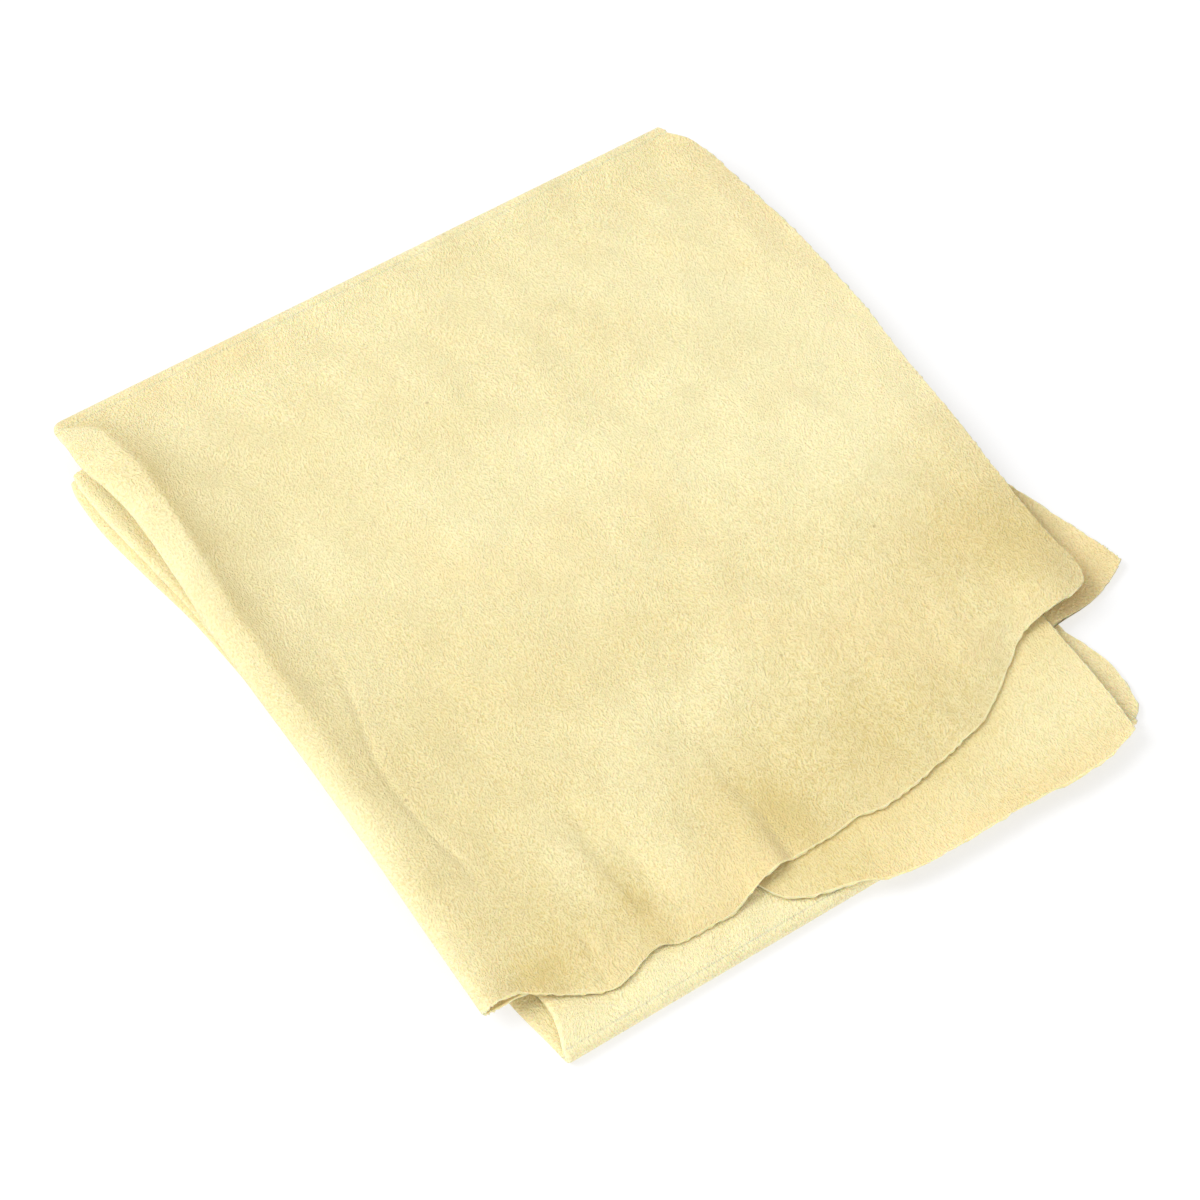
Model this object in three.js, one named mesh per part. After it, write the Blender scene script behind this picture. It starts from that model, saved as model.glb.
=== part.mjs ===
import * as THREE from "three";

const { clamp, lerp, mapLinear, smoothstep } = THREE.MathUtils;

// A chamois skin, doubled along its length and then pleated in three.
// Sizes are in millimetres. While it is built, x runs right from the upper side fold,
// depth runs forward from the back crease, and z runs up from the surface it lies on.

// Leather and the air between its layers
const leatherThickness = 1;
const layerAir = 0.5;
const leastAir = 0.4;
const seamGap = 0.3;

// The folded bundle
const bundleDepth = 263;
const bundleWidth = 217;

// Back crease, which carries the upper leaf over the middle one
const backInnerRadius = 3.4;
const backCreaseGap = 2.2;
const backCreaseHeight = 9.1;
const backCreaseReach = 10;

// Front crease, which carries the middle leaf over the lower one
const frontInnerRadius = 0.8;
const frontCreaseGap = 1.25;
const frontCreaseLift = 0.05;
const frontCreaseInset = 1.4;
const frontCreaseReach = 28;

// Side folds: where the nose of each fold lies, its depth across and half its height,
// each as [share of the bundle's depth, size]
const upperFoldNose = [[0.02, -2], [0.05, -2.6], [0.085, -2.8], [0.13, -0.3], [0.18, 1.3], [0.28, 1],
  [0.36, 0], [0.6, 0.8], [0.9, 0]];
const upperFoldDepth = [[0.02, 2.4], [0.05, 9.5], [0.1, 11.5], [0.18, 9], [0.28, 8], [0.4, 7], [0.65, 5.5],
  [0.8, 4.5], [0.92, 3]];
const upperFoldHalf = [[0.02, 1.1], [0.07, 2.6], [0.15, 3.3], [0.4, 3.2], [0.65, 2.5], [0.8, 1.9],
  [0.92, 1.4]];
const middleFoldNose = [[0.02, 3.5], [0.1, 4], [0.3, 6], [0.6, 9.5], [0.85, 14.5], [0.93, 16.8],
  [0.96, 15.4], [0.985, 12.8]];
const middleFoldDepth = [[0.02, 2.4], [0.1, 2], [0.76, 1.75], [0.88, 1.5], [0.93, 1.15], [0.955, 0.9],
  [0.985, 0.75]];
const middleFoldHalf = [[0.02, 1.1], [0.1, 1], [0.76, 0.95], [0.985, 0.625]];
const lowerFoldNose = [[0.06, -4.4], [0.075, -5.4], [0.1, -5.7], [0.145, -5.3], [0.217, -2.6], [0.315, 1.2],
  [0.5, 4.5], [0.9, 9.8], [0.96, 12], [0.985, 12.8]];
const lowerFoldDepth = [[0.06, 4.5], [0.2, 4.2], [0.4, 3], [0.76, 1.9], [0.88, 1.6], [0.93, 1.2],
  [0.955, 0.9], [0.985, 0.75]];
const lowerFoldHalf = [[0.06, 2.5], [0.15, 2.6], [0.3, 1.9], [0.5, 1.2], [0.76, 1], [0.985, 0.625]];

// How fast the upper layer of each leaf falls away from the crest of its side fold, and the crest's radius
const upperRollSlope = 14;
const middleRollSlope = 10;
const lowerRollSlope = 13;
const crestRadius = 1.6;

// The groove along the nose of the lower leaf: its place and half width as turns in radians from level,
// its depth as [share of the bundle's depth, size], and how far its upper ridge stands back, in depths
const grooveTurn = 0.12;
const grooveSpread = 0.46;
const grooveDepth = [[0.06, 1.25], [0.15, 1.2], [0.3, 0.6], [0.42, 0]];
const grooveShelf = 1;

// Raw edges on the right, as [share of the bundle's depth, share of its width]
const topRightEdge = [[0.024, 1], [0.05, 1.03], [0.1, 1.043], [0.23, 1.06], [0.35, 1.062], [0.46, 1.05],
  [0.61, 1.039], [0.745, 1.033], [0.78, 1.037], [0.799, 1.034], [0.816, 1.026], [0.825, 1.012], [0.83, 0.99]];
const undersideRightEdge = [[0.024, 0.977], [0.2, 0.96], [0.68, 0.955], [0.83, 0.948], [0.93, 0.946],
  [1, 0.939]];
const middleRightEdge = [[0.024, 0.977], [0.46, 1], [0.62, 1.045], [0.71, 1.074], [0.8, 1.102],
  [0.807, 1.102], [0.8135, 1.093], [0.83, 1.046], [0.8385, 1], [0.843, 0.95], [0.855, 0.925], [0.91, 0.917],
  [0.985, 0.93]];
const middleUndersideRightEdge = [[0.024, 1], [0.15, 0.968], [0.57, 0.935], [0.985, 0.94]];
const baseUpperRightEdge = [[0.05, 0.95], [0.5, 0.96], [0.84, 0.965], [0.874, 0.976], [0.91, 0.986],
  [0.947, 0.982], [0.975, 0.972], [0.985, 0.955]];
const baseRightEdge = [[0.05, 0.94], [0.5, 0.95], [0.9, 0.955], [0.985, 0.93]];

// Raw edges at the front and at the back, as [share of the width, share of the depth]
const topFrontEdge = [[0.013, 0.908], [0.037, 0.908], [0.05, 0.915], [0.096, 0.937], [0.137, 0.9527],
  [0.157, 0.9548], [0.201, 0.9426], [0.225, 0.9373], [0.249, 0.9465], [0.33, 0.9488], [0.364, 0.943],
  [0.395, 0.936], [0.435, 0.9305], [0.5, 0.931], [0.545, 0.927], [0.588, 0.931], [0.64, 0.9275],
  [0.728, 0.9136], [0.774, 0.903], [0.823, 0.88], [0.854, 0.8624], [0.898, 0.8386], [0.932, 0.833],
  [0.99, 0.83]];
const undersideFrontEdge = [[0.014, 0.908], [0.2, 0.918], [0.36, 0.928], [0.38, 0.934], [0.39, 0.952],
  [0.4, 0.963], [0.429, 0.976], [0.463, 0.983], [0.497, 0.991], [0.536, 1.005], [0.592, 1.011], [0.7, 1.012],
  [0.835, 1.015], [0.897, 1.011], [0.939, 1]];
const baseUpperBackEdge = [[0, 0.06], [0.4, 0.068], [0.75, 0.084], [1, 0.106]];
const baseBackEdge = [[0, 0.06], [0.4, 0.076], [0.75, 0.08], [1, 0.095]];

// How far the upper leaf lies off the middle one, as [share of the bundle's depth, size]
const upperLeafLoft = [[0.024, 5.3], [0.1, 4.5], [0.3, 2.6], [0.55, 1.2], [0.8, 0.3], [0.9, 0]];

// Swells of the top panel: place and spread as shares of the width and the depth, and height
const topCrown = 1.2;
const shoulderRise = 3.2;
const frontArchRise = 1.6;
const cornerArchRise = 2.2;
const topSwells = [
  { place: [0.977, 0.563], spread: [0.276, 0.16], rise: shoulderRise },
  { place: [0.424, 0.96], spread: [0.041, 0.08], rise: frontArchRise },
  { place: [0.977, 0.814], spread: [0.065, 0.053], rise: cornerArchRise },
];

// Folds that run forward in the top panel: path as [share of the depth, share of the width],
// half width as a share of the width, rise, and where each fades in and out along the depth
const valleyFall = 1.5;
const ridgeRise = 1;
const topFolds = [
  { path: [[0.72, 0.226], [0.787, 0.233], [0.9, 0.245], [0.95, 0.241]], half: 0.021, rise: -valleyFall,
    fadeIn: [0.715, 0.844], fadeOut: [1.1, 1.14] },
  { path: [[0.72, 0.258], [0.829, 0.283], [0.875, 0.293], [0.95, 0.3]], half: 0.019, rise: ridgeRise,
    fadeIn: [0.715, 0.817], fadeOut: [0.897, 0.958] },
];

// The step across the front of the top panel, down to the right: its path, its half width and its fall
const topStepPath = [[0.456, 0.359], [0.532, 0.378], [0.707, 0.429], [0.776, 0.456], [0.93, 0.456]];
const topStepHalf = [[0.456, 0.12], [0.684, 0.065], [0.817, 0.023], [0.93, 0.018]];
const topStepFade = [0.456, 0.817];
const topStepFall = 1.8;
const topStepEnd = 0.276;

// The front edge of the top panel lies down on the middle leaf over this stretch of the width
const topRestFrom = [0.018, 0.074];
const topRestTo = [0.332, 0.396];
const topRestFall = 2.3;
const topRestReach = 15;
const topRestStart = 2;
const topRestDrop = 5;

// Droop of the free right-hand edges
const topEdgeDroop = 1.6;
const topDroopFrom = 0.99;
const topDroopTo = 1.06;
const lobeDroop = 2.6;
const lobeDroopFrom = 0.965;
const lobeDroopTo = 1.102;

// Facets: columns and rows of each leaf, and where they crowd, as [share of the count, share of the panel]
const topColumns = 26;
const undersideColumns = 10;
const upperFoldSteps = 7;
const upperRows = 20;
const middleColumns = 12;
const middleUndersideColumns = 8;
const middleFoldSteps = 5;
const middleRows = 20;
const baseUpperColumns = 9;
const baseColumns = 5;
const lowerFoldSteps = 11;
const lowerRows = 12;
const creaseColumns = 8;
const creaseSteps = 6;
const cornerSteps = 5;
const columnCrowding = 1.8;
const topColumnMarks = [[0, 0], [0.16, 0.08], [0.27, 0.178], [0.46, 0.26], [0.58, 0.4], [0.7, 0.455],
  [0.85, 0.72], [1, 1]];
const lobeRowMarks = [[0, 0], [0.2, 0.06], [0.55, 0.76], [0.85, 0.86], [1, 1]];
const lobeColumnMarks = [[0, 0], [0.25, 0.06], [0.5, 0.24], [0.75, 0.86], [1, 1]];

const layerStep = leatherThickness + layerAir;
const leastStep = leatherThickness + leastAir;
const backOuterRadius = backInnerRadius + backCreaseGap;
const frontOuterRadius = frontInnerRadius + frontCreaseGap;
const backAxisDepth = backOuterRadius + leatherThickness / 2;
const frontAxisDepth = bundleDepth - frontCreaseInset - frontOuterRadius - leatherThickness / 2;
const frontCreaseHeight = frontOuterRadius + leatherThickness / 2 + frontCreaseLift;

// A smooth curve through points that are given as [along, across] and level past both ends
function curveThrough(points) {
  const last = points.length - 1;
  const slopeAt = (i) => {
    const before = points[Math.max(i - 1, 0)];
    const after = points[Math.min(i + 1, last)];
    return (after[1] - before[1]) / (after[0] - before[0]);
  };
  return (along) => {
    const t = clamp(along, points[0][0], points[last][0]);
    const i = clamp(points.findIndex((point) => point[0] >= t) - 1, 0, last - 1);
    const span = points[i + 1][0] - points[i][0];
    const s = (t - points[i][0]) / span;
    const rise = points[i + 1][1] - points[i][1];
    const easeIn = slopeAt(i) * span - rise;
    const easeOut = rise - slopeAt(i + 1) * span;
    return points[i][1] + s * rise + s * (1 - s) * ((1 - s) * easeIn + s * easeOut);
  };
}

// Rows or columns spaced evenly between marks, given as [share of their count, share of the panel]
function spacedBy(marks) {
  return (share) => {
    const i = clamp(marks.findIndex((mark) => mark[0] >= share) - 1, 0, marks.length - 2);
    return mapLinear(share, marks[i][0], marks[i + 1][0], marks[i][1], marks[i + 1][1]);
  };
}

// Curves along the depth that give a size, and curves along the depth that give a place across
const sizeAlongDepth = (points) => {
  const curve = curveThrough(points);
  return (depth) => curve(depth / bundleDepth);
};
const edgeAlongDepth = (points) => {
  const curve = curveThrough(points);
  return (depth) => curve(depth / bundleDepth) * bundleWidth;
};
const edgeAcross = (points) => {
  const curve = curveThrough(points);
  return (x) => curve(x / bundleWidth) * bundleDepth;
};

const sideFolds = {
  upper: {
    nose: sizeAlongDepth(upperFoldNose),
    across: sizeAlongDepth(upperFoldDepth),
    half: sizeAlongDepth(upperFoldHalf),
    slope: upperRollSlope,
  },
  middle: {
    nose: sizeAlongDepth(middleFoldNose),
    across: sizeAlongDepth(middleFoldDepth),
    half: sizeAlongDepth(middleFoldHalf),
    slope: middleRollSlope,
  },
  lower: {
    nose: sizeAlongDepth(lowerFoldNose),
    across: sizeAlongDepth(lowerFoldDepth),
    half: sizeAlongDepth(lowerFoldHalf),
    slope: lowerRollSlope,
    groove: sizeAlongDepth(grooveDepth),
  },
};
const foldEdge = (fold, depth) => fold.nose(depth) + fold.across(depth);

// How far two layers of a leaf lie apart: the height of its side fold beside it, closing up away from it
function leafGap(fold, x, depth) {
  const past = Math.max(x - foldEdge(fold, depth), 0);
  const beside = Math.exp(-(Math.hypot(past, crestRadius) - crestRadius) / fold.slope);
  return lerp(layerStep, 2 * fold.half(depth), beside);
}

const bell = (t) => Math.exp(-t * t);
const topFront = edgeAcross(topFrontEdge);
const undersideFront = edgeAcross(undersideFrontEdge);
const upperLoft = sizeAlongDepth(upperLeafLoft);
const foldsInTop = topFolds.map((fold) => ({ ...fold, centre: curveThrough(fold.path) }));
const stepCentre = curveThrough(topStepPath);
const stepHalf = curveThrough(topStepHalf);

// The slack that lifts the top panel off the layer below it
function topSlack(x, depth) {
  const across = x / bundleWidth;
  const along = depth / bundleDepth;
  const crown = topCrown * Math.sin(Math.PI * clamp(across, 0, 1)) * Math.sin(Math.PI * clamp(along, 0, 1));
  const swells = topSwells.reduce((sum, { place, spread, rise }) =>
    sum + rise * bell((across - place[0]) / spread[0]) * bell((along - place[1]) / spread[1]), 0);
  const folds = foldsInTop.reduce((sum, { centre, half, rise, fadeIn, fadeOut }) =>
    sum + rise * bell((across - centre(along)) / half)
      * smoothstep(along, ...fadeIn) * (1 - smoothstep(along, ...fadeOut)), 0);
  const pastStep = across - stepCentre(along);
  const below = (1 + Math.tanh(pastStep / stepHalf(along))) / 2;
  const recovery = Math.exp(-Math.max(pastStep, 0) / topStepEnd);
  const step = topStepFall * below * recovery * smoothstep(along, ...topStepFade);
  const resting = smoothstep(across, ...topRestFrom) * (1 - smoothstep(across, ...topRestTo));
  const fall = topRestFall * resting * (1 - smoothstep(topFront(x) - depth, 0, topRestReach));
  return crown + swells + folds - step - fall;
}

// The top panel keeps off the underside, and past the underside's raw edge off the middle leaf
function keptOff(gap, x, depth) {
  const past = smoothstep(depth - undersideFront(x) - topRestStart, 0, topRestDrop);
  const least = leastStep - (layerStep + upperLoft(depth)) * past;
  return least + (gap - least + Math.hypot(gap - least, leastAir)) / 2;
}

// Heights of the six layers, from the one that lies on the table to the top panel
function layerHeights(x, depth) {
  const nearBack = 1 - smoothstep(depth, backAxisDepth, backAxisDepth + backCreaseReach);
  const nearFront = smoothstep(depth, frontAxisDepth - frontCreaseReach, frontAxisDepth);
  const base = leatherThickness / 2 + frontCreaseLift * nearFront;
  const baseUpper = base + lerp(leafGap(sideFolds.lower, x, depth), frontCreaseGap, nearFront);
  const leafStep = lerp(layerStep, 2 * frontInnerRadius, nearFront);
  const middleUnderside = lerp(baseUpper + leafStep, backCreaseHeight - backOuterRadius, nearBack);
  const middleOpen = lerp(leafGap(sideFolds.middle, x, depth), frontCreaseGap, nearFront);
  const middleFlat = middleUnderside + lerp(middleOpen, backCreaseGap, nearBack);
  const topUnderside = middleFlat + lerp(layerStep + upperLoft(depth), 2 * backInnerRadius, nearBack);
  const topOpen = keptOff(leafGap(sideFolds.upper, x, depth) + topSlack(x, depth), x, depth);
  const topFlat = topUnderside + lerp(topOpen, backCreaseGap, nearBack);
  const share = x / bundleWidth;
  const topEdge = topEdgeDroop * smoothstep(share, topDroopFrom, topDroopTo);
  const lobe = lobeDroop * smoothstep(share, lobeDroopFrom, lobeDroopTo);
  const open = 1 - nearBack;
  return {
    base,
    baseUpper,
    middleUnderside,
    middle: middleFlat - lobe * open,
    topUnderside,
    top: topFlat - topEdge * open,
  };
}

// A closed sheet of leather about the middle surface that a function of u and v gives
function leatherSheet(surface, columns, rows) {
  const nudge = 1e-4;
  const faces = [];
  const upper = [];
  const lower = [];
  for (let row = 0; row <= rows; row++) {
    for (let column = 0; column <= columns; column++) {
      const u = column / columns;
      const v = row / rows;
      const acrossStep = surface(Math.min(u + nudge, 1), v).sub(surface(Math.max(u - nudge, 0), v));
      const alongStep = surface(u, Math.min(v + nudge, 1)).sub(surface(u, Math.max(v - nudge, 0)));
      const normal = acrossStep.normalize().cross(alongStep.normalize()).normalize();
      const middle = surface(u, v);
      upper.push(...middle.clone().addScaledVector(normal, leatherThickness / 2).toArray());
      lower.push(...middle.addScaledVector(normal, -leatherThickness / 2).toArray());
    }
  }
  const count = (columns + 1) * (rows + 1);
  const at = (column, row) => row * (columns + 1) + column;
  for (let row = 0; row < rows; row++) {
    for (let column = 0; column < columns; column++) {
      const a = at(column, row);
      const b = at(column + 1, row);
      const c = at(column + 1, row + 1);
      const d = at(column, row + 1);
      faces.push(a, b, c, a, c, d);
      faces.push(count + c, count + b, count + a, count + d, count + c, count + a);
    }
  }
  const rim = [];
  for (let column = 0; column < columns; column++) rim.push(at(column, 0));
  for (let row = 0; row < rows; row++) rim.push(at(columns, row));
  for (let column = columns; column > 0; column--) rim.push(at(column, rows));
  for (let row = rows; row > 0; row--) rim.push(at(0, row));
  rim.forEach((from, i) => {
    const to = rim[(i + 1) % rim.length];
    faces.push(to, from, count + from, to, count + from, count + to);
  });
  const geometry = new THREE.BufferGeometry();
  geometry.setAttribute("position", new THREE.Float32BufferAttribute([...upper, ...lower], 3));
  geometry.setIndex(faces);
  geometry.computeVertexNormals();
  return geometry;
}

// Rows crowd towards both ends of a panel, and on the middle leaf towards the cut of its lobe as well.
// Columns crowd towards the side fold, and towards the folds of the top panel and the lobe as well
const evenRows = (v) => (1 - Math.cos(Math.PI * v)) / 2;
const lobeRows = spacedBy(lobeRowMarks);
const evenColumns = (u) => u ** columnCrowding;
const foldColumns = spacedBy(topColumnMarks);
const lobeColumns = spacedBy(lobeColumnMarks);

const atBackCrease = () => backAxisDepth + seamGap;
const atFrontCrease = () => frontAxisDepth - seamGap;

// One layer of a leaf, from its side fold to its raw right edge
function panelSurface(layer, fold, rightEdge, ends, rowShare = evenRows, columnShare = evenColumns) {
  const [backEnd, frontEnd] = ends;
  const right = edgeAlongDepth(rightEdge);
  const widest = rightEdge[rightEdge.length - 1][1] * bundleWidth;
  return (u, v) => {
    const xAtEnd = columnShare(u) * widest;
    const depth = lerp(backEnd(xAtEnd), frontEnd(xAtEnd), rowShare(v));
    const x = lerp(foldEdge(fold, depth) + seamGap, right(depth), columnShare(u));
    return new THREE.Vector3(x, -depth, layerHeights(x, depth)[layer]);
  };
}

// How far the groove draws the nose of a side fold in, with the ridge above it set back
function grooveAt(fold, depth, turn) {
  if (!fold.groove) return 0;
  const setBack = grooveShelf * smoothstep(turn, -grooveSpread, grooveSpread) * Math.cos(turn);
  return fold.groove(depth) * (bell((turn - grooveTurn) / grooveSpread) + setBack);
}

// The rounded side of a leaf, from its upper layer over the nose to its lower layer
function sideFoldSurface(fold, upperLayer, lowerLayer, backDepth, frontDepth, rowShare = evenRows) {
  return (u, v) => {
    const depth = lerp(backDepth, frontDepth, rowShare(v));
    const turn = Math.PI * (0.5 - u);
    const edge = foldEdge(fold, depth);
    const heights = layerHeights(edge, depth);
    const half = (heights[upperLayer] - heights[lowerLayer]) / 2;
    const x = edge - fold.across(depth) * Math.cos(turn) + grooveAt(fold, depth, turn);
    return new THREE.Vector3(x, -depth, heights[lowerLayer] + half * (1 + Math.sin(turn)));
  };
}

// The creases, each between the side fold of the leaf above it and that of the leaf below it
const { upper, middle, lower } = sideFolds;
const backCrease = { depth: backAxisDepth, height: backCreaseHeight, outward: -1, from: upper, to: middle };
const frontCrease = { depth: frontAxisDepth, height: frontCreaseHeight, outward: 1, from: middle, to: lower };

// A point on a crease at a radius from its axis, turned over from the upper leaf to the lower one
function creasePoint(crease, x, radius, v) {
  const turn = Math.PI * v;
  const depth = crease.depth + crease.outward * radius * Math.sin(turn);
  return new THREE.Vector3(x, -depth, crease.height + radius * Math.cos(turn));
}

// Where the side fold's edge lies as it is carried round a crease
function creaseEdge({ depth, from, to }, v) {
  return lerp(foldEdge(from, depth), foldEdge(to, depth), smoothstep(v, 0, 1));
}

// One layer of a crease, from the corner at the side fold to its raw right end
function creaseSurface(crease, radius, rightEdge) {
  const right = edgeAlongDepth(rightEdge)(crease.depth);
  return (u, v) => creasePoint(crease, lerp(creaseEdge(crease, v) + seamGap, right, u), radius, v);
}

// The corner where a side fold is carried round a crease
function cornerSurface(crease, innerRadius, outerRadius) {
  const { depth, from, to } = crease;
  const half = (outerRadius - innerRadius) / 2;
  return (u, v) => {
    const turn = Math.PI * (0.5 - u);
    const across = lerp(from.across(depth), to.across(depth), v);
    const x = creaseEdge(crease, v) - across * Math.cos(turn);
    return creasePoint(crease, x, innerRadius + half * (1 + Math.sin(turn)), v);
  };
}

const upperFoldFront = topFront(0);
const baseUpperBack = edgeAcross(baseUpperBackEdge);
const baseBack = edgeAcross(baseBackEdge);
const lowerFoldBack = baseUpperBack(0);

const upperEnds = [atBackCrease, topFront];
const undersideEnds = [atBackCrease, undersideFront];
const middleEnds = [atBackCrease, atFrontCrease];
const creaseFacets = [creaseColumns, creaseSteps];
const cornerFacets = [cornerSteps, creaseSteps];

const pieces = {
  top_panel: [
    panelSurface("top", upper, topRightEdge, upperEnds, evenRows, foldColumns),
    [topColumns, upperRows],
  ],
  top_underside: [
    panelSurface("topUnderside", upper, undersideRightEdge, undersideEnds),
    [undersideColumns, upperRows],
  ],
  upper_side_fold: [
    sideFoldSurface(upper, "top", "topUnderside", atBackCrease(), upperFoldFront),
    [upperFoldSteps, upperRows],
  ],
  middle_panel: [
    panelSurface("middle", middle, middleRightEdge, middleEnds, lobeRows, lobeColumns),
    [middleColumns, middleRows],
  ],
  middle_underside: [
    panelSurface("middleUnderside", middle, middleUndersideRightEdge, middleEnds, lobeRows),
    [middleUndersideColumns, middleRows],
  ],
  middle_side_fold: [
    sideFoldSurface(middle, "middle", "middleUnderside", atBackCrease(), atFrontCrease(), lobeRows),
    [middleFoldSteps, middleRows],
  ],
  back_fold_outer: [creaseSurface(backCrease, backOuterRadius, topRightEdge), creaseFacets],
  back_fold_inner: [creaseSurface(backCrease, backInnerRadius, middleRightEdge), creaseFacets],
  back_corner_fold: [cornerSurface(backCrease, backInnerRadius, backOuterRadius), cornerFacets],
  base_upper: [
    panelSurface("baseUpper", lower, baseUpperRightEdge, [baseUpperBack, atFrontCrease]),
    [baseUpperColumns, lowerRows],
  ],
  base_panel: [
    panelSurface("base", lower, baseRightEdge, [baseBack, atFrontCrease]),
    [baseColumns, lowerRows],
  ],
  lower_side_fold: [
    sideFoldSurface(lower, "baseUpper", "base", lowerFoldBack, atFrontCrease()),
    [lowerFoldSteps, lowerRows],
  ],
  front_fold_outer: [creaseSurface(frontCrease, frontOuterRadius, baseRightEdge), creaseFacets],
  front_fold_inner: [creaseSurface(frontCrease, frontInnerRadius, baseUpperRightEdge), creaseFacets],
  front_corner_fold: [cornerSurface(frontCrease, frontInnerRadius, frontOuterRadius), cornerFacets],
};

const leatherColour = 0xeedda4;
const leatherRoughness = 0.95;

const chamois = new THREE.Group();
chamois.name = "chamois_leather";
for (const [name, [surface, [columns, rows]]] of Object.entries(pieces)) {
  const suede = new THREE.MeshStandardMaterial({
    color: leatherColour,
    roughness: leatherRoughness,
    metalness: 0,
    side: THREE.FrontSide,
  });
  const piece = new THREE.Mesh(leatherSheet(surface, columns, rows), suede);
  piece.name = name;
  chamois.add(piece);
}

// The origin is under the middle of the bundle's box
const box = new THREE.Box3().setFromObject(chamois, true);
const middleOfBox = box.getCenter(new THREE.Vector3());
chamois.children.forEach((piece) => piece.geometry.translate(-middleOfBox.x, -middleOfBox.y, 0));

export default chamois;
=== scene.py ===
import math
import bpy
import numpy as np
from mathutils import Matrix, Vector


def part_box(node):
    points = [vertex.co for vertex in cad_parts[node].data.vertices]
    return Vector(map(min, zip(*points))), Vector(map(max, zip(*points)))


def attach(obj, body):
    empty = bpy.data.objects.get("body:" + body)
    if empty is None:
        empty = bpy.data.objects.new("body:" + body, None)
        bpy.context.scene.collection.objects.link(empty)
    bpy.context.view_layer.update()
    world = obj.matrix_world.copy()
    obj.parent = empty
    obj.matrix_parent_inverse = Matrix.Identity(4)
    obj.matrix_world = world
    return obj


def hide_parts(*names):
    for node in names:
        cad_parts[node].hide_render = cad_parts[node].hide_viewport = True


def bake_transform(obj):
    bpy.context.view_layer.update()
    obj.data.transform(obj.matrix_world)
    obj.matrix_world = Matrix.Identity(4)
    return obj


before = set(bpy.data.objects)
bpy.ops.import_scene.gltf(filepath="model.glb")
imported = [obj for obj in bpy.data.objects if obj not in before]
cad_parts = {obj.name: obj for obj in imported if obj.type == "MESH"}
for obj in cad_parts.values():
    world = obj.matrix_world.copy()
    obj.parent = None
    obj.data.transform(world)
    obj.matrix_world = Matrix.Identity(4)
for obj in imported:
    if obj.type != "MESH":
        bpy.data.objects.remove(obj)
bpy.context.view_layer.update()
scene = bpy.context.scene
mm = 0.001
tiny = 1e-9  # keeps a length from being divided by nothing
print("frame loaded")


# Curves, easing and soft noise. Bundle places are in millimetres: x right from the upper side fold,
# d forward from the back crease, z up from the table
def curveThrough(points):
    along = np.array([p[0] for p in points], float)
    across = np.array([p[1] for p in points], float)
    last = len(points) - 1
    place = np.arange(last + 1)
    before = np.maximum(place - 1, 0)
    after = np.minimum(place + 1, last)
    slope = (across[after] - across[before]) / (along[after] - along[before])

    def curve(t):
        t = np.clip(t, along[0], along[-1])
        i = np.clip(np.searchsorted(along, t) - 1, 0, last - 1)
        span = along[i + 1] - along[i]
        s = (t - along[i]) / span
        rise = across[i + 1] - across[i]
        easeIn = slope[i] * span - rise
        easeOut = rise - slope[i + 1] * span
        return across[i] + s * rise + s * (1 - s) * ((1 - s) * easeIn + s * easeOut)

    return curve


def ease(t, low, high):
    s = np.clip((t - low) / (high - low), 0, 1)
    return s * s * (3 - 2 * s)


def mix(a, b, share):
    return a + (b - a) * share


def softNoise(x, y, cell, seed):
    size = 128
    lattice = np.random.default_rng(seed).uniform(-1, 1, (size, size))
    gx = x / cell
    gy = y / cell
    ix = np.floor(gx).astype(int)
    iy = np.floor(gy).astype(int)
    sx = ease(gx - ix, 0, 1)
    sy = ease(gy - iy, 0, 1)
    near = mix(lattice[iy % size, ix % size], lattice[iy % size, (ix + 1) % size], sx)
    far = mix(lattice[(iy + 1) % size, ix % size], lattice[(iy + 1) % size, (ix + 1) % size], sx)
    return mix(near, far, sy)


bundle = {
    "thickness": 1.0,  # leather
    "air": 0.5,  # between layers
    "depth": 263.0,
    "width": 217.0,
    "backRadius": (3.4, 5.6),  # inner and outer layer of the back crease
    "backHeight": 9.1,
    "backReach": 10.0,
    "frontRadius": (0.8, 2.05),
    "frontLift": 0.05,
    "frontInset": 1.4,  # the front crease lies this far behind the underside's edge line
    "frontReach": 28.0,
    "buttGap": 0.02,  # keeps the two opened leaves from touching end to end
}

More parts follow.
